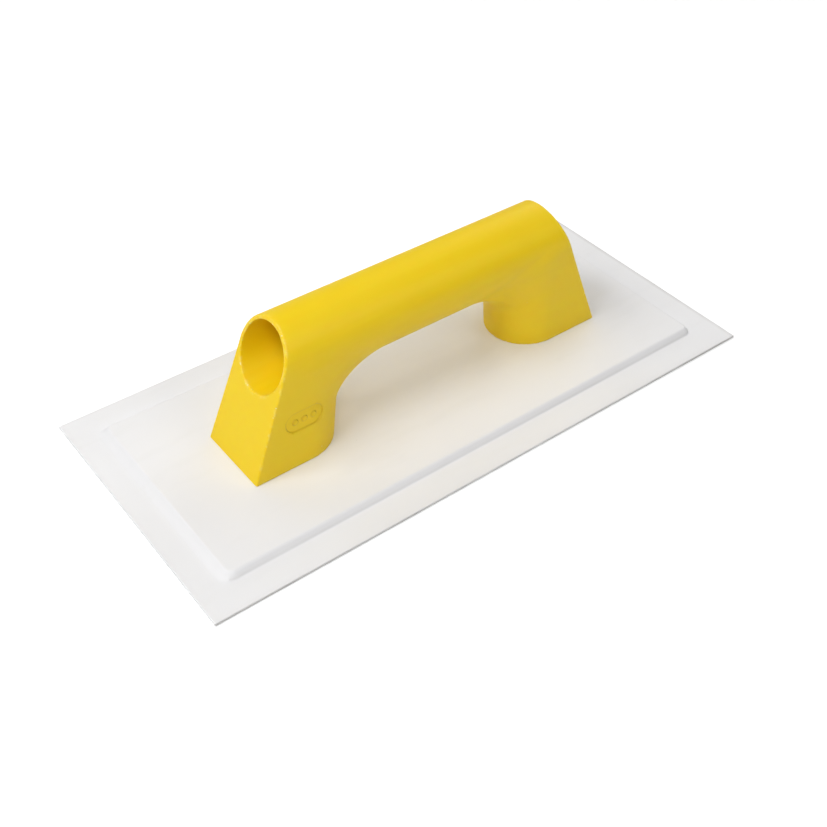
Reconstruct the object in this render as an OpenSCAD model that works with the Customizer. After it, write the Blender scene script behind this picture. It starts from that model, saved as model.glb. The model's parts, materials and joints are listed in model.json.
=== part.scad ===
// Plasterer's hand float: a flat plastic blade with a raised, board-stiffened panel,
// and a one-piece hollow handle screwed on from below.
// Millimetres, +Z up. X runs along the blade, and the origin is the centre of its working face.

/* [Blade] */
// Length of the blade
blade_length = 300; // [285:1:340]
// Width of the blade
blade_width = 140; // [125:1:180]
// Thickness of the sole sheet, and of the skin over it
sheet = 0.8; // [0.6:0.1:1.2]

/* [Raised panel] */
// Length of the panel's flat top
panel_length = 265.6; // [255:0.1:275]
// Width of the panel's flat top
panel_width = 108.6; // [100:0.1:115]
// How far the panel's edge slopes outward on its way down
panel_run = 1.6; // [1:0.1:3]
// Corner radius of the panel's flat top
panel_corner = 3; // [2:0.5:8]
// Thickness of the stiffening board inside the panel
board = 3; // [2.5:0.1:5]

/* [Handle] */
// Length of the handle over its two feet
handle_length = 200; // [190:1:220]
// Width of each foot
foot_width = 39.6; // [38:0.1:46]
// Length of each foot, with its rounded inner end
foot_length = 50; // [46:1:56]
// Outer diameter of the grip
grip_diameter = 34.5; // [33:0.5:36]
// Diameter of the hole through the grip
bore_diameter = 30.6; // [20:0.1:31]
// Height of the grip's axis over the panel
axis_height = 49.6; // [46:0.1:56]
// Lean of the handle's two end faces, in degrees from upright
end_lean = 21.3; // [15:0.1:24]
// Lean of each foot's rounded inner end towards the middle, in degrees from upright
inner_lean = 8; // [0:0.5:10]
// Radius of the arch between a foot and the underside of the grip
arch_radius = 16; // [12:1:22]
// Width of the arch where it meets the underside of the grip
arch_width = 24; // [16:1:30]
// Wall thickness of the hollow feet
foot_wall = 3; // [2:0.1:4]
// Thickness of the web along each foot's pocket
web = 2.4; // [1.5:0.1:4]

/* [Screws] */
// Outer diameter of the screw's thread
screw_diameter = 4; // [3.5:0.1:4.5]
// Length of the screw with its head
screw_length = 20; // [16:1:25]
// Diameter of the countersunk head
head_diameter = 8; // [7:0.1:8.5]
// Diameter of the bosses that the screws bite into
boss_diameter = 9; // [8:0.5:11]
// Distance between the two screws of one foot
screw_spacing = 24; // [20:1:26]

/* [Hidden] */
$fn = 96;

// Heights of the blade's layers
rim_top = 2 * sheet;
board_top = sheet + board;
panel_top = board_top + sheet;

// The handle's section: its flanks run from the edges of the foot to the round of the grip
grip_radius = grip_diameter / 2;
half_foot = foot_width / 2;
axis_z = panel_top + axis_height;
flank_reach = norm([half_foot, axis_height]);
flank_length = sqrt(flank_reach * flank_reach - grip_radius * grip_radius);
flank_lean = asin(grip_radius / flank_reach) - atan(half_foot / axis_height);
flank_inset = 0.03; // keeps the flanks just inside the grip's tangent, so that they meet cleanly
flank_top_z = panel_top + flank_length * cos(flank_lean);
flank_top_y = half_foot + flank_length * sin(flank_lean) - flank_inset;
flank_slope = (half_foot - flank_top_y) / (flank_top_z - panel_top);

// The rounded inner end of a foot turns about an axis that stands here and leans to the middle
half_handle = handle_length / 2;
foot_turn_x = half_handle - foot_length + half_foot;
foot_swell = 0.2; // the round end is this much wider than the flanks, so that they trim it

// The arch springs from the foot's inner end and dies into the underside of the grip
arch_top_z = axis_z - grip_radius + 0.2;
arch_foot_z = arch_top_z - arch_radius;
arch_foot_r = half_foot - (arch_foot_z - panel_top) * flank_slope;
arch_turn_x = foot_turn_x - (arch_foot_z - panel_top) * tan(inner_lean);

// The pockets in the feet stop under the grip's hole
pocket_top_z = axis_z - bore_diameter / 2 - 2.5;
end_wall = foot_wall / cos(end_lean);

// The screws stand on the sole sheet, and their points end in the bosses
screw_clearance = 0.25;
outer_screw_x = half_handle - 16;
inner_screw_x = outer_screw_x - screw_spacing;
head_depth = (head_diameter - screw_diameter) / 2 + 0.3;
pilot_depth = screw_length + 1.5;
thread_root = 0.36 * screw_diameter;
thread_pitch = 1.8;
tip_length = 3;

// Extrudes an outline drawn in Y and Z along X, centred on the middle of the handle
module along_x(length) {
    rotate([90, 0, 90]) linear_extrude(length, center = true) children();
}

// Extrudes an outline drawn in X and Z along Y, centred
module along_y(length) {
    rotate([90, 0, 0]) linear_extrude(length, center = true) children();
}

// Low frustum with rounded corners: length and width at the top, growing by run on each side
module frustum(length, width, bottom_z, top_z, run, corner) {
    hull() for (x = [-1, 1], y = [-1, 1])
        translate([x * (length / 2 - corner), y * (width / 2 - corner), bottom_z])
            cylinder(h = top_z - bottom_z, r1 = corner + run, r2 = corner, $fn = 32);
}

// A position for each of the four screws: both screws of both feet
module at_screws() {
    for (x = [-outer_screw_x, -inner_screw_x, inner_screw_x, outer_screw_x])
        translate([x, 0, 0]) children();
}

// Flanks of the feet, from the panel up to the round of the grip, narrowed by inset
module flanks(inset = 0) {
    along_x(handle_length + 2) polygon([
        [-half_foot + inset, panel_top], [half_foot - inset, panel_top],
        [flank_top_y - inset, flank_top_z], [-flank_top_y + inset, flank_top_z]]);
}

// Everything between the handle's two leaning end faces, shortened by inset at each end
module between_ends(inset = 0) {
    top_z = axis_z + grip_radius + 1;
    half = half_handle - inset;
    top_half = half - (top_z - panel_top) * tan(end_lean);
    along_y(foot_width + 20) polygon([
        [-half, panel_top], [half, panel_top], [top_half, top_z], [-top_half, top_z]]);
}

// Room taken by one foot, straight outside its turning axis and round inside it
module foot_room(inset = 0) {
    height = axis_height / cos(inner_lean);
    end_radius = half_foot + foot_swell - inset;
    translate([foot_turn_x, 0, panel_top]) rotate([0, -inner_lean, 0]) {
        translate([0, -half_foot - 1, -foot_length])
            cube([2 * foot_length, foot_width + 2, height + foot_length]);
        cylinder(h = height, r1 = end_radius, r2 = end_radius - height * flank_slope);
    }
}

// The arch: a web under the grip that flares out from the round end of a foot
module arch() {
    reach = arch_foot_r + arch_radius;
    intersection() {
        translate([arch_turn_x, 0, arch_foot_z]) rotate_extrude() difference() {
            square([reach, axis_z - arch_foot_z]);
            translate([reach, 0]) circle(r = arch_radius);
        }
        translate([0, -arch_width / 2, 0]) cube([arch_turn_x, arch_width, axis_z]);
    }
}

// Outer shape of one foot with its arch
module foot_outside() {
    intersection() {
        flanks();
        foot_room();
    }
    arch();
}

// Hollow in one foot, around its two bosses and its web
module foot_pocket() {
    difference() {
        intersection() {
            flanks(foot_wall);
            between_ends(end_wall);
            foot_room(foot_wall);
            translate([0, -half_foot, panel_top - 1])
                cube([half_handle, foot_width, pocket_top_z - panel_top + 1]);
        }
        at_screws() cylinder(h = axis_z, d = boss_diameter);
        translate([0, -web / 2, 0]) cube([half_handle, web, axis_z]);
    }
}

module sole_sheet() {
    color("whitesmoke")
        translate([-blade_length / 2, -blade_width / 2, 0])
            cube([blade_length, blade_width, sheet]);
}

module backing_board() {
    play = 0.1;
    length = panel_length - 2 * (sheet + play);
    width = panel_width - 2 * (sheet + play);
    color("burlywood") difference() {
        translate([-length / 2, -width / 2, sheet]) cube([length, width, board]);
        at_screws() {
            translate([0, 0, sheet - 1])
                cylinder(h = board + 2, d = screw_diameter + 2 * screw_clearance);
            translate([0, 0, sheet])
                cylinder(h = head_depth, d1 = head_diameter + 0.1, d2 = screw_diameter + 0.1);
        }
    }
}

module top_skin() {
    color("white") difference() {
        union() {
            translate([-blade_length / 2, -blade_width / 2, sheet])
                cube([blade_length, blade_width, sheet]);
            frustum(panel_length, panel_width, rim_top, panel_top, panel_run, panel_corner);
        }
        frustum(panel_length - 2 * sheet, panel_width - 2 * sheet, sheet - 0.01, board_top,
                panel_run, panel_corner - sheet);
        at_screws() cylinder(h = panel_top + 1, d = screw_diameter + 2 * screw_clearance);
    }
}

module handle() {
    color("gold") difference() {
        intersection() {
            union() {
                rotate([0, 90, 0]) translate([-axis_z, 0, 0])
                    cylinder(h = handle_length, r = grip_radius, center = true);
                foot_outside();
                mirror([1, 0, 0]) foot_outside();
            }
            between_ends();
        }
        rotate([0, 90, 0]) translate([-axis_z, 0, 0])
            cylinder(h = handle_length + 2, d = bore_diameter, center = true);
        foot_pocket();
        mirror([1, 0, 0]) foot_pocket();
        at_screws() cylinder(h = sheet + pilot_depth, d = screw_diameter);
    }
}

// Countersunk screw, head down, with its thread drawn as a ring for each turn
module screw(x) {
    head_top = head_depth;
    tip_z = screw_length - tip_length;
    crest = screw_diameter / 2 - 0.02;
    thread_start = head_top + 1.5;
    turns = floor((tip_z - thread_start) / thread_pitch);
    color("silver") translate([x, 0, sheet]) difference() {
        union() {
            cylinder(h = head_top, d1 = head_diameter, d2 = screw_diameter);
            cylinder(h = tip_z, r = thread_root);
            cylinder(h = thread_start, r = crest);
            translate([0, 0, tip_z]) cylinder(h = tip_length, r1 = thread_root, r2 = 0.3);
            for (i = [1:turns]) translate([0, 0, thread_start + i * thread_pitch]) {
                cylinder(h = 0.45, r1 = crest, r2 = thread_root);
                translate([0, 0, -0.45]) cylinder(h = 0.45, r1 = thread_root, r2 = crest);
            }
        }
        for (a = [0, 90]) rotate([0, 0, a])
            translate([-2.1, -0.4, -1]) cube([4.2, 0.8, 2.6]);
    }
}

module screw_rear_inner() screw(inner_screw_x);
module screw_rear_outer() screw(outer_screw_x);
module screw_front_inner() screw(-inner_screw_x);
module screw_front_outer() screw(-outer_screw_x);

sole_sheet();
backing_board();
top_skin();
handle();
screw_rear_inner();
screw_rear_outer();
screw_front_inner();
screw_front_outer();
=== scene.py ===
"""Plasterer's hand float: a white plastic blade with a raised panel under a yellow hollow handle.

The handle, the skin over the panel and the sole sheet get detailed meshes that stand for their
CAD nodes. The stiffening board and the screws keep theirs. Metres, +Z up, in the row frame.
"""

import json
import math

import bmesh
import bpy
import numpy as np
from mathutils import Matrix, Vector


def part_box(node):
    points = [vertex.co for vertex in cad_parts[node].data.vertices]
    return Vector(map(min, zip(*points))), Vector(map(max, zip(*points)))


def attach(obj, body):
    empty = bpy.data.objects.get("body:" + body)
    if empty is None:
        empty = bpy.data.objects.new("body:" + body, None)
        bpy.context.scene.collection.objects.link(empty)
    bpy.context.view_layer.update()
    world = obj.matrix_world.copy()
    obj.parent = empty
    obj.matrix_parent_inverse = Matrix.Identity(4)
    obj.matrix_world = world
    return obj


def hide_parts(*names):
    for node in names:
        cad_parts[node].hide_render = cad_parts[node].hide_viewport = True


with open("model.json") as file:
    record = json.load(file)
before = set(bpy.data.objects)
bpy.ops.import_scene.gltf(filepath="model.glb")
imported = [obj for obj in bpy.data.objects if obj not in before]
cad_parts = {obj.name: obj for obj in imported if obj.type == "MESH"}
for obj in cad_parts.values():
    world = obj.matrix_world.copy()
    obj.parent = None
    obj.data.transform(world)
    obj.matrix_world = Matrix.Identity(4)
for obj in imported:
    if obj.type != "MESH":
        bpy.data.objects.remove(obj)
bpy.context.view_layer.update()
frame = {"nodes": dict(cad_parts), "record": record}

MM = 0.001
BODY = "root"

# ---------------------------------------------------------------- sizes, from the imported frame
SOLE_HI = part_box("sole_sheet")[1]
BOARD_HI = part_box("backing_board")[1]
HANDLE_LO, HANDLE_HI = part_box("handle")
SCREWS = ["screw_front_outer", "screw_front_inner", "screw_rear_inner", "screw_rear_outer"]
BORE = next(m for m in frame["record"]["mounts"] if m["name"] == "grip_bore")

HALF_LENGTH, HALF_WIDTH, SHEET = SOLE_HI
RIM_TOP = 2 * SHEET
PANEL_TOP = HANDLE_LO.z
BOARD_PLAY = 0.1 * MM  # around the board, under the skin
PANEL_X = BOARD_HI.x + SHEET + BOARD_PLAY
PANEL_Y = BOARD_HI.y + SHEET + BOARD_PLAY

AXIS_Z = BORE["pos_m"][2]
BORE_R = BORE["dims"]["r_mm"] * MM
GRIP_R = HANDLE_HI.z - AXIS_Z
HALF_FOOT = HANDLE_HI.y
END_X = HANDLE_HI.x
END_TAN = (END_X - BORE["dims"]["length_mm"] * MM / 2) / (AXIS_Z - BORE_R - PANEL_TOP)
AXIS_RISE = AXIS_Z - PANEL_TOP
FLANK_LEAN = (math.asin(GRIP_R / math.hypot(HALF_FOOT, AXIS_RISE))
              - math.atan(HALF_FOOT / AXIS_RISE))
FLANK_TAN = abs(math.tan(FLANK_LEAN))
FLANK_TOP = AXIS_Z + GRIP_R * math.sin(abs(FLANK_LEAN))


# ---------------------------------------------------------------- the handle's shape
# Most functions give roughly the distance to a surface, negative inside the solid.

ROUND_X = 71 * MM        # where the rounded inner end of a foot starts
ROUND_REACH = 21.3 * MM  # how far it reaches towards the middle, at the panel
ROUND_LEAN = 0.15        # how much further it reaches for each unit of height
ARCH_R = 16 * MM         # fillet between a foot and the underside of the grip
ARCH_FADE = 8 * MM       # height over which the fillets die out at the top of the flanks
VALLEY_R = 4 * MM        # least fillet where the round end parts from the side of the grip
VALLEY_X = ROUND_X + 2 * MM
VALLEY_FADE = 22 * MM    # length, around VALLEY_X, over which it dies out towards the end
LEAST_FILLET = 0.001 * MM
END_EDGE = 0.8 * MM      # rounding around the end faces
LIP_EDGE = 0.5 * MM      # rounding around the mouth of the bore
BASE_EDGE = 0.25 * MM    # rounding around the base of a foot
WALL = 3 * MM            # wall of the hollow feet
WEB = 2.4 * MM           # web along each pocket
BOSS_R = 4.5 * MM        # bosses that take the screws
PILOT_R = 1.9 * MM       # screw holes in the bosses
PILOT_SPARE = 1 * MM     # how far they go past the screws' points
ROOF = 2.5 * MM          # least wall between a pocket and the bore

# The moulded flanks sink a little in the middle
SINK = 0.3 * MM
SINK_X, SINK_Z = 74 * MM, 24 * MM
SINK_LENGTH, SINK_HEIGHT = 20 * MM, 17 * MM

# The sunk cartouche on one flank, and the three pips in it
PILL_X, PILL_Z = -72.4 * MM, 28.7 * MM
PILL_HALF, PILL_R = 4.7 * MM, 4.9 * MM
PILL_DEPTH = 0.5 * MM
PILL_EDGE = 0.4 * MM     # width of its sloping walls
PIP_SPACING, PIP_R = 4.7 * MM, 1.4 * MM
PIP_HEIGHT = 0.9         # as a share of the cartouche's depth


def overlap(a, b, edge):
    """Distance to the part that two solids share, with the edge between them rounded."""
    rounded = np.hypot(np.maximum(a + edge, 0), np.maximum(b + edge, 0))
    return np.minimum(np.maximum(a, b), -edge) + rounded


def fade(value, width):
    """1 well below zero, 0 well above it, and smooth over the width between."""
    t = np.clip(0.5 - value / width, 0, 1)
    return t * t * (3 - 2 * t)


def foot(x, y, z):
    """One foot with its rounded inner end, open at the outer end, and its surface's slope."""
    rise = z - PANEL_TOP
    half = HALF_FOOT - FLANK_TAN * rise
    squeeze = half / (ROUND_REACH + ROUND_LEAN * rise)
    inward = np.maximum(ROUND_X - x, 0) * squeeze
    turn = np.maximum(np.hypot(inward, y), 1e-9)
    slope = np.stack([-inward * squeeze / turn, y / turn, np.full_like(turn, FLANK_TAN)])
    steepness = np.sqrt((slope ** 2).sum(0))
    return (turn - half) * math.cos(FLANK_LEAN), slope / steepness


def grip_and_feet(x, y, z):
    """The handle's outer surface before its ends are cut.

    The fillet between grip and foot shrinks where their two surfaces come to face the same way.
    """
    spoke = np.maximum(np.hypot(y, z - AXIS_Z), 1e-9)
    grip = spoke - GRIP_R
    leg, slope = foot(x, y, z)
    facing = slope[1] * y / spoke + slope[2] * (z - AXIS_Z) / spoke
    arch = ARCH_R * (1 - facing) * fade(z - FLANK_TOP + ARCH_FADE / 2, ARCH_FADE)
    valley = VALLEY_R * fade(x - VALLEY_X, VALLEY_FADE) * fade(z - FLANK_TOP, ARCH_FADE)
    fillet = np.clip(arch + valley, LEAST_FILLET, ARCH_R)
    nearer = np.minimum(grip, leg)
    joined = (np.maximum(fillet, nearer)
              - np.hypot(np.maximum(fillet - grip, 0), np.maximum(fillet - leg, 0)))
    return np.where(z > FLANK_TOP, grip + joined - nearer, joined)


def end_face(x, z):
    """Distance outside the leaning face at the end of the handle."""
    return (x - END_X + (z - PANEL_TOP) * END_TAN) / math.hypot(1, END_TAN)


def pill(x, z):
    """Outline of the plain sunk cartouche on one flank."""
    along = np.maximum(np.abs(x - PILL_X) - PILL_HALF, 0)
    return np.hypot(along, z - PILL_Z) - PILL_R


def pips(x, z):
    """Outlines of the three plain pips in the cartouche."""
    turns = [np.hypot(x - PILL_X - i * PIP_SPACING, z - PILL_Z) for i in (-1, 0, 1)]
    return np.minimum.reduce(turns) - PIP_R


def flank_relief(x, y, z):
    """How far the flanks lie below their nominal surface."""
    middle = ((np.abs(x) - SINK_X) / SINK_LENGTH) ** 2 + ((z - SINK_Z) / SINK_HEIGHT) ** 2
    sink = SINK * np.exp(-middle)
    sunk = fade(pill(x, z), PILL_EDGE) - PIP_HEIGHT * fade(pips(x, z), PILL_EDGE)
    return sink + np.where(y < 0, PILL_DEPTH * sunk, 0)


def pocket(x, y, z):
    """The hollow in a foot, around its bosses and its web."""
    leg, _ = foot(x, y, z)
    room = np.maximum.reduce([leg + WALL, end_face(x, z) + WALL, z - (AXIS_Z - BORE_R - ROOF)])
    for name in SCREWS[2:]:
        lo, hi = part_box(name)
        room = np.maximum(room, BOSS_R - np.hypot(x - (lo.x + hi.x) / 2, y))
    return np.maximum(room, WEB / 2 - np.abs(y))


def screw_holes(x, y, z):
    """The holes in one foot's bosses that the screws bite into."""
    lo, hi = zip(*(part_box(name) for name in SCREWS[2:]))
    holes = [np.hypot(x - (a.x + b.x) / 2, y) - PILOT_R for a, b in zip(lo, hi)]
    return np.maximum(np.minimum.reduce(holes), z - hi[0].z - PILOT_SPARE)


def handle_field(x, y, z):
    """The whole handle: grip, feet and arches, less the bore, the pockets and the screw holes."""
    side = np.abs(x)
    solid = grip_and_feet(side, np.abs(y), z) + flank_relief(x, y, z)
    solid = overlap(solid, end_face(side, z), END_EDGE)
    solid = overlap(solid, PANEL_TOP - z, BASE_EDGE)
    solid = overlap(solid, BORE_R - np.hypot(y, z - AXIS_Z), LIP_EDGE)
    solid = overlap(solid, -pocket(side, y, z), BASE_EDGE)
    return overlap(solid, -screw_holes(side, y, z), BASE_EDGE)


def slope_of(field, points, reach=0.02 * MM):
    """The field's slope at each point, by central differences."""
    steps = np.eye(3) * reach
    rises = [field(*(points + s).T) - field(*(points - s).T) for s in steps]
    return np.stack(rises, 1) / (2 * reach)


def settle(field, points, rounds=4, longest=0.5 * MM):
    """Moves the points onto the surface where the field is zero, in steps no longer than that."""
    for _ in range(rounds):
        slope = slope_of(field, points)
        steep = np.maximum((slope ** 2).sum(1), 0.1)
        step = -field(*points.T)[:, None] * slope / steep[:, None]
        points = points + np.clip(step, -longest, longest)
    return points


def surface_net(field, lo, hi, cell):
    """Quads over the surface where the field is zero, a vertex in each cell that it crosses."""
    axes = [np.arange(a - cell * 1.5, b + cell * 1.5, cell) for a, b in zip(lo, hi)]
    grid = np.stack(np.meshgrid(*axes, indexing="ij"))
    value = field(*grid.reshape(3, -1)).reshape(grid.shape[1:])
    total = np.zeros((3,) + tuple(n - 1 for n in value.shape))
    hits = np.zeros(total.shape[1:], int)
    crossings = []
    for axis in range(3):
        low = [slice(None)] * 3
        high = [slice(None)] * 3
        low[axis], high[axis] = slice(None, -1), slice(1, None)
        a, b = value[tuple(low)], value[tuple(high)]
        crossed = (a < 0) != (b < 0)
        # Each grid edge that crosses the surface adds its crossing to the four cells around it
        share = np.where(crossed, a / np.where(crossed, a - b, 1), 0)
        where = grid[(slice(None),) + tuple(low)] + 0
        where[axis] += share * cell
        others = [k for k in range(3) if k != axis]
        for shift in ((0, 0), (0, 1), (1, 0), (1, 1)):
            part = [slice(None)] * 3
            for k, s in zip(others, shift):
                part[k] = slice(s, s + total.shape[1 + k])
            mask = crossed[tuple(part)]
            total += where[(slice(None),) + tuple(part)] * mask
            hits += mask
        crossings.append((crossed, a < 0, others))
    # A cell's vertex is the mean of its crossings
    used = hits > 0
    number = np.full(hits.shape, -1)
    number[used] = np.arange(used.sum())
    vertices = (total[:, used] / hits[used]).T
    # Each crossing edge gives a face between the vertices of the four cells around it
    faces = []
    for axis, (crossed, inside, others) in enumerate(crossings):
        inner = [slice(None)] * 3
        for k in others:
            inner[k] = slice(1, -1)
        at = np.argwhere(crossed[tuple(inner)])
        outward = inside[tuple(inner)][tuple(at.T)]
        corners = []
        for shift in ((0, 0), (1, 0), (1, 1), (0, 1)):
            cell_at = at.copy()
            for k, s in zip(others, shift):
                cell_at[:, k] += s
            corners.append(number[tuple(cell_at.T)])
        quads = np.stack(corners, 1)
        flip = outward if axis == 1 else ~outward
        quads[flip] = quads[flip][:, ::-1]
        faces.append(quads)
    return vertices, np.concatenate(faces)


# ---------------------------------------------------------------- mesh helpers

def add_object(name, mesh):
    piece = bpy.data.objects.new(name, mesh)
    bpy.context.scene.collection.objects.link(piece)
    return piece


def new_mesh(name, vertices, faces):
    """A smoothly shaded mesh."""
    mesh = bpy.data.meshes.new(name)
    mesh.from_pydata(np.asarray(vertices).tolist(), [], np.asarray(faces).tolist())
    mesh.polygons.foreach_set("use_smooth", np.ones(len(mesh.polygons), bool))
    mesh.update()
    return mesh


def points_of(mesh):
    points = np.empty(len(mesh.vertices) * 3)
    mesh.vertices.foreach_get("co", points)
    return points.reshape(-1, 3)


def nearness(distance, reach):
    """1 where the distance is zero, 0 where it is more than reach."""
    return np.clip(1 - distance / reach, 0, 1)


def add_attribute(mesh, name, values):
    layer = mesh.attributes.new(name, "FLOAT", "POINT")
    layer.data.foreach_set("value", values.astype(np.float32))


# ---------------------------------------------------------------- the handle's mesh

CELL = 1.15 * MM         # size of its faces before they are refined
FINE_RIM = 2.2 * MM      # how far from its edges the faces are refined
FINE_MARGIN = 1.2 * MM   # how far around the cartouche
EDGE_WEAR_AND_HIGHLIGHT_WIDTH = 1.4 * MM     # how far wear and a painted highlight reach from the edges
GROOVE_SHADE_WIDTH = 0.5 * MM  # how far painted shade reaches from the cartouche's walls


def refine(mesh, near, rounds):
    """Splits the faces where near(points) holds, with no open seams around them."""
    work = bmesh.new()
    work.from_mesh(mesh)
    for _ in range(rounds):
        work.verts.ensure_lookup_table()
        close = near(np.array([v.co for v in work.verts]))
        faces = [f for f in work.faces if all(close[v.index] for v in f.verts)]
        edges = list({e for f in faces for e in f.edges})
        bmesh.ops.subdivide_edges(work, edges=edges, cuts=1, use_grid_fill=True)
        work.verts.index_update()
        work.to_mesh(mesh)
        moved = settle(handle_field, points_of(mesh))
        for vertex, place in zip(work.verts, moved):
            vertex.co = place
    many = [f for f in work.faces if len(f.verts) > 4]
    bmesh.ops.triangulate(work, faces=many)
    work.to_mesh(mesh)
    work.free()


def edge_nearness(points, edge=EDGE_WEAR_AND_HIGHLIGHT_WIDTH):
    """1 on the handle's outer edges, 0 further than edge from them."""
    x, y, z = points.T
    side = np.abs(x)
    outer = np.abs(grip_and_feet(side, np.abs(y), z) + flank_relief(x, y, z))
    end = np.abs(end_face(side, z))
    mouth = np.abs(BORE_R - np.hypot(y, z - AXIS_Z))
    base = np.abs(z - PANEL_TOP)
    rims = [np.hypot(outer, end), np.hypot(mouth, end), np.hypot(outer, base)]
    return nearness(np.minimum.reduce(rims), edge)


def groove_nearness(points):
    """1 at the walls of the cartouche and its pips, 0 further than GROOVE_SHADE_WIDTH from them."""
    x, y, z = points.T
    walls = np.minimum(np.abs(pill(x, z)), np.abs(pips(x, z)))
    return np.where(y < -HALF_FOOT / 2, nearness(walls, GROOVE_SHADE_WIDTH), 0)


def needs_detail(points):
    """Whether each point is close to an edge or to the cartouche."""
    x, y, z = points.T
    on_flank = (y < -HALF_FOOT / 2) & (pill(x, z) < FINE_MARGIN)
    return (edge_nearness(points, FINE_RIM) > 0) | on_flank


def build_handle():
    """The handle's mesh, with normals taken from the field itself."""
    vertices, faces = surface_net(handle_field, HANDLE_LO, HANDLE_HI, CELL)
    mesh = new_mesh("handle_shell", settle(handle_field, vertices), faces)
    refine(mesh, needs_detail, 2)
    mesh.polygons.foreach_set("use_smooth", np.ones(len(mesh.polygons), bool))
    points = points_of(mesh)
    normals = slope_of(handle_field, points)
    normals /= np.linalg.norm(normals, axis=1)[:, None]
    mesh.normals_split_custom_set_from_vertices(normals.tolist())
    # The rim mask carries wear, pale chips and a painted highlight along the edges
    add_attribute(mesh, "rim", edge_nearness(points))
    # Painted shade along the walls of the cartouche and around its pips
    add_attribute(mesh, "groove_shade", groove_nearness(points))
    return add_object("handle_shell", mesh)


# ---------------------------------------------------------------- the blade's two sheets

PANEL_CORNER = 3 * MM       # corner radius of the panel's top
CORNER_BLEND = 12 * MM      # width over which the edge along a side turns into that of an end
# The panel's pressed edge, in mm, on the long sides, at the front end and at the rear end
CREST_OUT = 0.0, 1.1, 0.0   # how far its top edge stands outside the CAD's
PANEL_RUN = 1.2, 2.6, 1.6   # how far it slopes outwards on its way down
CREST_SOFT = 3.6, 0.5, 1.5  # softness of the bend at its top
TOE_SOFT = 2.0, 3.0, 1.8    # softness of the bend at its foot

UNEVENNESS = 0.06 * MM      # depth of the waves in the thin skin
EDGE_RUN = 0.7 * MM         # how far in from the cut edge the skin's face starts to round off
EDGE_DROP = 0.3 * MM        # how far it drops there
JOINT_EDGE = 0.3            # rounding where the sheets meet, as a share of the skin's
SOLE_EDGE = 0.6             # rounding around the working face, as a share of the skin's
WELD_GAP = 0.005 * MM       # between the two sheets, around the rim

# The grid over the blade: fine from a little inside the panel's edge to beyond its foot
STEP_INSIDE, STEP_BEYOND = 2 * MM, 6.5 * MM
STEP_LINES, RIM_LINES, ROUNDING_LINES = 46, 6, 9
INNER_SPACING = 3 * MM

# Painted shade from 0 to 1 along the long cut edges, at the rear end and in the crease beside the
# panel, and how far it and the border's wear reach, in mm
SIDE_SHADE_REACH = 0.12               # in from the long cut edges
REAR_SHADE, REAR_SHADE_REACH = 0.5, 1.5
CREASE_SHADE, CREASE_SHADE_REACH = 0.25, 0.6  # painted shade in the crease along the foot of the panel's long edges
WEAR_REACH = 1.2


def soft_max(a, b, width):
    """The larger of two heights, with a smooth bend where they are closer than width."""
    near = np.maximum(1 - np.abs(a - b) / width, 0)
    return np.maximum(a, b) + near ** 2 * width / 4


def panel_edge(x, y, inset=0):
    """Distance outside the panel's top edge, and its run and the softness of its two bends."""
    qx = np.abs(x) - (PANEL_X - inset - PANEL_CORNER)
    qy = np.abs(y) - (PANEL_Y - inset - PANEL_CORNER)
    out = np.hypot(np.maximum(qx, 0), np.maximum(qy, 0)) + np.minimum(np.maximum(qx, qy), 0)
    at_end = fade(qy - qx, CORNER_BLEND)
    shift, run, top_soft, toe_soft = (
        MM * (side + at_end * (np.where(x < 0, front, rear) - side))
        for side, front, rear in (CREST_OUT, PANEL_RUN, CREST_SOFT, TOE_SOFT))
    return out - PANEL_CORNER - shift, run, top_soft, toe_soft


def panel_height(x, y, crest, base, inset):
    """Height of the pressed panel and of the rim around it."""
    out, run, top_soft, toe_soft = panel_edge(x, y, inset)
    edge = crest - out * (PANEL_TOP - RIM_TOP) / run
    crown = -soft_max(-crest, -edge, top_soft)
    return soft_max(base, crown, toe_soft)


def waves(x, y):
    """Slight unevenness of the thin sheet, from 0 to 1."""
    a = np.sin(x / (23 * MM) + 1.3 * np.sin(y / (31 * MM)))
    b = np.sin(y / (17 * MM) + 0.8 * np.sin(x / (41 * MM)) + 2)
    return 0.5 + 0.25 * (a + b)


def cut_edge(x, y, size=1.0):
    """How far the rounded border of a sheet falls back from its face."""
    inside = np.minimum(HALF_LENGTH - np.abs(x), HALF_WIDTH - np.abs(y))
    short = nearness(inside, size * EDGE_RUN)
    return size * EDGE_DROP * (1 - np.sqrt(1 - short ** 2))


def skin_top(x, y):
    height = panel_height(x, y, PANEL_TOP, RIM_TOP, 0)
    return height - UNEVENNESS * waves(x, y) - cut_edge(x, y)


def skin_under(x, y):
    height = panel_height(x, y, PANEL_TOP - SHEET, SHEET + WELD_GAP, SHEET)
    return height + cut_edge(x, y, JOINT_EDGE)


def sole_top(x, y):
    return SHEET - cut_edge(x, y, JOINT_EDGE)


def sole_under(x, y):
    return cut_edge(x, y, SOLE_EDGE)


def sheet_lines(half, step_at):
    """Grid lines across the blade, close together over the panel's edge and at the border."""
    start, stop, border = step_at - STEP_INSIDE, step_at + STEP_BEYOND, half - EDGE_RUN
    inner = np.linspace(0, start, round(start / INNER_SPACING) + 1)
    step = np.linspace(start, stop, STEP_LINES)
    rim = np.linspace(stop, border, RIM_LINES)
    rounding = border + EDGE_RUN * np.sin(np.linspace(0, math.pi / 2, ROUNDING_LINES))
    lines = np.unique(np.concatenate([inner, step, rim, rounding]).round(9))
    return np.concatenate([-lines[:0:-1], lines])


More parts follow.
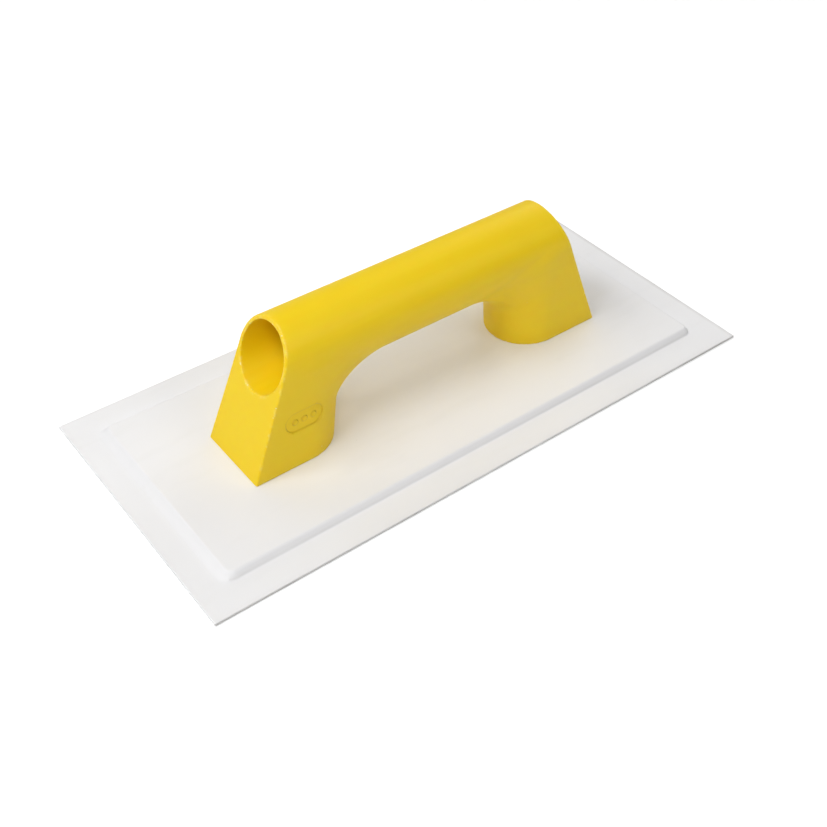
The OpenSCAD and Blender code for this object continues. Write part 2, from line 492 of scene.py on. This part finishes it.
def add_wear_and_shade(mesh, vertices, side_shade):
    """Marks the worn border, and the painted shade at the cut edges, at the rear end and beside the
    panel.
    """
    x, y, z = vertices.T
    from_end, from_side = (HALF_LENGTH - np.abs(x)) / MM, (HALF_WIDTH - np.abs(y)) / MM
    add_attribute(mesh, "rim", nearness(np.minimum(from_end, from_side), WEAR_REACH))
    more_at_ends = 0.7 + 0.3 * np.abs(x / HALF_LENGTH) ** 3
    # Painted shade on the long cut edges, darker towards the ends, at the rear end and in the crease
    # at the panel's foot
    sides = side_shade * more_at_ends * nearness(from_side, SIDE_SHADE_REACH)
    rear = REAR_SHADE * nearness((HALF_LENGTH - x) / MM, REAR_SHADE_REACH)
    out, run, *_ = panel_edge(x, y)
    on_skin = (z > RIM_TOP - EDGE_DROP) & (from_end > from_side)
    crease = CREASE_SHADE * nearness(np.abs(out - run) / MM, CREASE_SHADE_REACH) * on_skin
    add_attribute(mesh, "painted_shade", np.maximum.reduce([sides, rear, crease]))


def build_sheet(name, top, under, side_shade):
    """A closed sheet between two height fields, with painted shade at its cut edges and beside the
    panel.
    """
    xs, ys = sheet_lines(HALF_LENGTH, PANEL_X), sheet_lines(HALF_WIDTH, PANEL_Y)
    x, y = (a.ravel() for a in np.meshgrid(xs, ys, indexing="ij"))
    vertices = np.concatenate([np.stack([x, y, face(x, y)], 1) for face in (top, under)])
    number = np.arange(len(x)).reshape(len(xs), len(ys))
    a, b, c, d = number[:-1, :-1], number[1:, :-1], number[1:, 1:], number[:-1, 1:]
    upper = np.stack([a, b, c, d], -1).reshape(-1, 4)
    lower = upper[:, ::-1] + len(x)
    loop = np.concatenate([number[:-1, 0], number[-1, :-1], number[:0:-1, -1], number[0, :0:-1]])
    after = np.roll(loop, -1)
    wall = np.stack([loop, loop + len(x), after + len(x), after], 1)
    mesh = new_mesh(name, vertices, np.concatenate([upper, lower, wall]))
    add_wear_and_shade(mesh, vertices, side_shade)
    return add_object(name, mesh)


# ---------------------------------------------------------------- materials

class Nodes:
    """A material's node tree, with short calls to add and join nodes."""

    def __init__(self, name):
        self.material = bpy.data.materials.new(name)
        self.material.use_nodes = True
        self.tree = self.material.node_tree
        self.shader = self.tree.nodes["Principled BSDF"]
        self.place = self.add("TexCoord").outputs["Object"]

    def add(self, kind, **settings):
        node = self.tree.nodes.new("ShaderNode" + kind)
        for key, value in settings.items():
            setattr(node, key, value)
        return node

    def join(self, output, target):
        self.tree.links.new(output, target)

    def feed(self, node, name, value):
        """Gives a socket another node's output, or a constant."""
        if hasattr(value, "links"):
            self.join(value, node.inputs[name])
        else:
            node.inputs[name].default_value = value

    def stretched(self, scale, turn=(0, 0, 0)):
        """The object's coordinates, scaled and turned."""
        node = self.add("Mapping")
        node.inputs["Scale"].default_value = scale
        node.inputs["Rotation"].default_value = turn
        self.join(self.place, node.inputs["Vector"])
        return node.outputs["Vector"]

    def noise(self, scale, detail=3, roughness=0.5, place=None):
        """Noise from 0 to 1, with scale waves in a metre."""
        node = self.add("TexNoise")
        self.join(place or self.place, node.inputs["Vector"])
        node.inputs["Scale"].default_value = scale
        node.inputs["Detail"].default_value = detail
        node.inputs["Roughness"].default_value = roughness
        return node.outputs["Fac"]

    def cells(self, scale):
        """Distance from the nearest of many scattered points, with scale of them in a metre."""
        node = self.add("TexVoronoi")
        self.join(self.place, node.inputs["Vector"])
        node.inputs["Scale"].default_value = scale
        return node.outputs["Distance"]

    def spread(self, value, low, high, out_low=0.0, out_high=1.0):
        """Maps low..high to out_low..out_high, and holds it there outside."""
        node = self.add("MapRange")
        self.join(value, node.inputs["Value"])
        for key, number in (("From Min", low), ("From Max", high),
                            ("To Min", out_low), ("To Max", out_high)):
            node.inputs[key].default_value = number
        return node.outputs["Result"]

    def combine(self, operation, a, b):
        node = self.add("Math", operation=operation)
        self.feed(node, 0, a)
        self.feed(node, 1, b)
        return node.outputs["Value"]

    def sum(self, a, b):
        return self.combine("ADD", a, b)

    def times(self, a, b):
        return self.combine("MULTIPLY", a, b)

    def larger(self, a, b):
        return self.combine("MAXIMUM", a, b)

    def blend(self, share, first, second):
        """Mixes two colours, with that share of the second.

        A Mix node repeats its sockets' names for each type of data, so they go by number.
        """
        node = self.add("Mix", data_type="RGBA")
        self.feed(node, 0, share)
        self.feed(node, 6, first)
        self.feed(node, 7, second)
        return node.outputs[2]

    def attribute(self, name):
        return self.add("Attribute", attribute_name=name).outputs["Fac"]

    def bump(self, height, distance, strength, below=None):
        """A normal for relief of that height in metres, on top of the relief below."""
        node = self.add("Bump")
        node.inputs["Strength"].default_value = strength
        node.inputs["Distance"].default_value = distance
        self.join(height, node.inputs["Height"])
        if below:
            self.join(below, node.inputs["Normal"])
        return node.outputs["Normal"]

    def finish(self, colour, roughness, normal, **constants):
        """Joins up the shader and sets its other sockets to constants."""
        self.join(colour, self.shader.inputs["Base Color"])
        self.join(roughness, self.shader.inputs["Roughness"])
        self.join(normal, self.shader.inputs["Normal"])
        for key, value in constants.items():
            self.shader.inputs[key.replace("_", " ")].default_value = value
        return self.material


def rgb(red, green, blue):
    return red, green, blue, 1


def handle_material():
    """Glossy yellow moulded plastic, a little paler at its edges from wear and a painted highlight,
    with painted shade along the cartouche's walls.
    """
    n = Nodes("handle_yellow")
    tone = n.spread(n.noise(28, 3, 0.5), 0.3, 0.7)
    colour = n.blend(tone, rgb(0.942, 0.645, 0.002), rgb(0.958, 0.665, 0.003))
    streaks = n.noise(1, 4, 0.55, n.stretched((9, 260, 260)))
    colour = n.blend(n.spread(streaks, 0.45, 0.75, 0, 0.25), colour, rgb(0.97, 0.73, 0.02))
    # Edges paler from wear and from a painted highlight along the rims
    worn_and_highlight = n.times(n.attribute("rim"), n.spread(n.noise(330, 4, 0.6), 0.45, 0.62))
    colour = n.blend(n.times(worn_and_highlight, 0.5), colour, rgb(0.97, 0.84, 0.26))
    flecks = n.times(n.spread(n.attribute("rim"), 0.45, 0.7), n.spread(n.noise(520, 2), 0.66, 0.7))
    colour = n.blend(n.times(flecks, 0.75), colour, rgb(0.98, 0.93, 0.62))
    # Painted shade darkens the walls of the cartouche and its pips
    colour = n.blend(n.times(n.attribute("groove_shade"), 0.5), colour, rgb(0.52, 0.31, 0.0))
    specks = n.times(n.spread(n.cells(150), 0.05, 0.03), n.spread(n.noise(60), 0.55, 0.6))
    colour = n.blend(n.times(specks, 0.6), colour, rgb(0.97, 0.86, 0.40))
    grain = n.noise(1400, 3, 0.6)
    rough = n.sum(n.spread(streaks, 0.3, 0.7, 0.43, 0.53), n.spread(worn_and_highlight, 0, 1, 0, 0.1))
    rough = n.sum(rough, n.spread(n.noise(420, 2), 0.3, 0.7, -0.02, 0.03))
    normal = n.bump(n.noise(45, 2), 0.12 * MM, 0.5)
    normal = n.bump(streaks, 0.02 * MM, 0.6, normal)
    normal = n.bump(grain, 0.006 * MM, 0.6, normal)
    return n.finish(colour, rough, normal, IOR=1.46, Specular_IOR_Level=0.46,
                    Subsurface_Weight=0.25, Subsurface_Scale=0.8 * MM,
                    Subsurface_Radius=(1, 0.45, 0.08))


def blade_material():
    """White plastic sheet with a fine matt grain, faint handling marks, dulled edges, and painted
    shade along its cut edges and the panel's foot.
    """
    n = Nodes("blade_white")
    cloud = n.spread(n.noise(14, 3, 0.55), 0.3, 0.7)
    colour = n.blend(cloud, rgb(0.872, 0.867, 0.871), rgb(0.892, 0.889, 0.897))
    smear = n.noise(1, 4, 0.6, n.stretched((18, 90, 90), (0, 0, 0.35)))
    colour = n.blend(n.spread(smear, 0.55, 0.8, 0, 0.35), colour, rgb(0.82, 0.817, 0.80))
    specks = n.times(n.spread(n.cells(110), 0.035, 0.02), n.spread(n.noise(40), 0.55, 0.6))
    colour = n.blend(n.times(specks, 0.35), colour, rgb(0.5, 0.49, 0.46))
    dulled = n.times(n.attribute("rim"), n.spread(n.noise(45, 3), 0.35, 0.65, 0.5, 1))
    colour = n.blend(n.times(dulled, 0.12), colour, rgb(0.60, 0.60, 0.585))
    # Painted shade along the cut edges, at the rear end and in the crease at the panel's foot
    edge_shade_mask = n.times(n.attribute("painted_shade"), n.spread(n.noise(22, 3), 0.35, 0.65, 0.5, 1))
    colour = n.blend(n.times(edge_shade_mask, 0.7), colour, rgb(0.24, 0.20, 0.16))
    scratches = [n.noise(1, 2, 0.5, n.stretched((6, 900, 900), (0, 0, turn)))
                 for turn in (0.12, -0.5, 1.25)]
    fine = [n.spread(scratch, 0.66, 0.74) for scratch in scratches]
    marks = n.larger(n.larger(fine[0], fine[1]), fine[2])
    rough = n.sum(n.spread(smear, 0.3, 0.7, 0.46, 0.56), n.spread(marks, 0, 1, 0, 0.08))
    normal = n.bump(n.noise(30, 2), 0.15 * MM, 0.35)
    normal = n.bump(marks, -0.01 * MM, 0.35, normal)
    normal = n.bump(n.noise(1500, 3, 0.6), 0.008 * MM, 0.7, normal)
    return n.finish(colour, rough, normal, IOR=1.5)


def board_material():
    """Thin plywood: pale face veneer along the blade, darker lines of glue and pores."""
    n = Nodes("board_plywood")
    figure = n.noise(1, 5, 0.6, n.stretched((10, 130, 400)))
    colour = n.blend(n.spread(figure, 0.3, 0.7), rgb(0.42, 0.27, 0.14), rgb(0.66, 0.48, 0.29))
    pores = n.noise(1, 3, 0.6, n.stretched((60, 1800, 1800)))
    colour = n.blend(n.spread(pores, 0.58, 0.7, 0, 0.5), colour, rgb(0.24, 0.14, 0.07))
    rough = n.spread(figure, 0.2, 0.8, 0.62, 0.8)
    return n.finish(colour, rough, n.bump(pores, -0.05 * MM, 0.6), IOR=1.45)


def screw_material():
    """Zinc-plated steel with a faint blue and yellow cast and fine turning marks."""
    n = Nodes("screw_zinc")
    cast = n.spread(n.noise(450, 3, 0.6), 0.35, 0.65)
    colour = n.blend(cast, rgb(0.60, 0.62, 0.66), rgb(0.70, 0.67, 0.58))
    rough = n.spread(n.noise(900, 3), 0.3, 0.7, 0.24, 0.42)
    marks = n.noise(1, 2, 0.5, n.stretched((300, 300, 5200)))
    return n.finish(colour, rough, n.bump(marks, 0.02 * MM, 0.5), Metallic=1.0)


# ---------------------------------------------------------------- floor, light and camera

FLOOR_REACH = 8
FLOOR_DROP = 0.3 * MM        # keeps the floor clear of the sole
NEAR_GLOW, NEAR = 0.27, 0.6  # glow that the camera sees in the floor around the object
FAR_GLOW, FAR = 1.0, 1.4     # and where no lamp reaches it
BACKDROP_LIGHT = 0.04        # how weakly the backdrop lights the object
LIGHT_DISTANCE = 1.3         # of the softboxes from the blade's middle


def build_floor():
    """A white floor that glows for the camera, so that it looks white where no lamp reaches it."""
    corners = (-1, -1), (1, -1), (1, 1), (-1, 1)
    mesh = new_mesh("floor", [(x * FLOOR_REACH, y * FLOOR_REACH, 0) for x, y in corners],
                    [(0, 1, 2, 3)])
    floor = add_object("floor", mesh)
    floor.location.z = -FLOOR_DROP
    n = Nodes("floor_white")
    n.shader.inputs["Base Color"].default_value = rgb(0.95, 0.95, 0.95)
    n.shader.inputs["Roughness"].default_value = 0.9
    n.shader.inputs["Emission Color"].default_value = rgb(1, 1, 1)
    away = n.add("VectorMath", operation="LENGTH")
    n.join(n.place, away.inputs[0])
    seen = n.add("LightPath").outputs["Is Camera Ray"]
    glow = n.times(seen, n.spread(away.outputs["Value"], NEAR, FAR, NEAR_GLOW, FAR_GLOW))
    n.join(glow, n.shader.inputs["Emission Strength"])
    mesh.materials.append(n.material)


def softbox(name, azimuth, elevation, width, height, power):
    """A rectangular light that faces the object: degrees from +X and above it, metres, watts."""
    light = bpy.data.lights.new(name, "AREA")
    light.shape = "RECTANGLE"
    light.size, light.size_y = width, height
    light.energy = power
    turn, rise = math.radians(azimuth), math.radians(elevation)
    towards = Vector((math.cos(turn) * math.cos(rise), math.sin(turn) * math.cos(rise),
                      math.sin(rise)))
    lamp = add_object(name, light)
    lamp.location = LIGHT_DISTANCE * towards
    lamp.rotation_euler = towards.to_track_quat("Z", "Y").to_euler()


def light_studio():
    """Five softboxes around and one overhead, before a backdrop that is white only to the camera."""
    world = bpy.data.worlds.new("studio")
    world.use_nodes = True
    tree = world.node_tree
    background = tree.nodes["Background"]
    background.inputs["Color"].default_value = rgb(1, 1, 1)
    seen = tree.nodes.new("ShaderNodeLightPath").outputs["Is Camera Ray"]
    strength = tree.nodes.new("ShaderNodeMapRange")
    strength.inputs["To Min"].default_value = BACKDROP_LIGHT
    strength.inputs["To Max"].default_value = 1.0
    tree.links.new(seen, strength.inputs["Value"])
    tree.links.new(strength.outputs["Result"], background.inputs["Strength"])
    bpy.context.scene.world = world
    softbox("key", 176, 52, 0.9, 0.36, 8.8)
    softbox("front_fill", 232, 50, 0.45, 0.36, 3.95)
    softbox("right_fill", 293, 42, 0.5, 0.4, 2.3)
    softbox("top_fill", 0, 90, 0.5, 0.5, 1.3)
    softbox("rear_fill", 22, 25, 1.2, 0.6, 4.7)
    softbox("far_fill", 100, 25, 1.2, 0.6, 3.5)
    bpy.context.scene.view_settings.view_transform = "Standard"


def aim_camera():
    """Stands the camera over the near left corner, a little turned about its line of sight."""
    azimuth, elevation, roll = (math.radians(a) for a in (-38.10, 42.33, 0.915))
    distance, aside, down = 559.6 * MM, -0.30 * MM, 15.65 * MM
    back = Vector((math.sin(azimuth) * math.cos(elevation),
                   -math.cos(azimuth) * math.cos(elevation), math.sin(elevation)))
    level = Vector((0, 0, 1)).cross(back).normalized()
    right = Matrix.Rotation(roll, 3, back) @ level
    up = back.cross(right)
    camera = bpy.data.cameras.new("camera")
    camera.lens = 50.66  # mm, on a sensor 36 mm wide
    camera.clip_start, camera.clip_end = 0.01, 50
    body = add_object("camera", camera)
    turn = Matrix((right, up, back)).transposed()
    place = back * distance - right * aside - up * down
    body.matrix_world = Matrix.Translation(place) @ turn.to_4x4()
    bpy.context.scene.camera = body


# ---------------------------------------------------------------- assembly

def place_piece(piece, node, material):
    """Lets a piece stand for a CAD node."""
    piece.data.materials.append(material)
    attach(piece, BODY)
    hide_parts(node)


def dress_node(name, material):
    """Gives a CAD node that stays a better material."""
    for slot in frame["nodes"][name].material_slots:
        slot.material = material


aim_camera()
build_floor()
light_studio()

blade_white = blade_material()
place_piece(build_handle(), "handle", handle_material())
# The skin gets less painted shade on its cut edge than the sole
place_piece(build_sheet("panel_skin", skin_top, skin_under, 0.7), "top_skin",
            blade_white)
place_piece(build_sheet("sole_face", sole_top, sole_under, 1), "sole_sheet",
            blade_white)
dress_node("backing_board", board_material())
screw_zinc = screw_material()
for screw in SCREWS:
    dress_node(screw, screw_zinc)
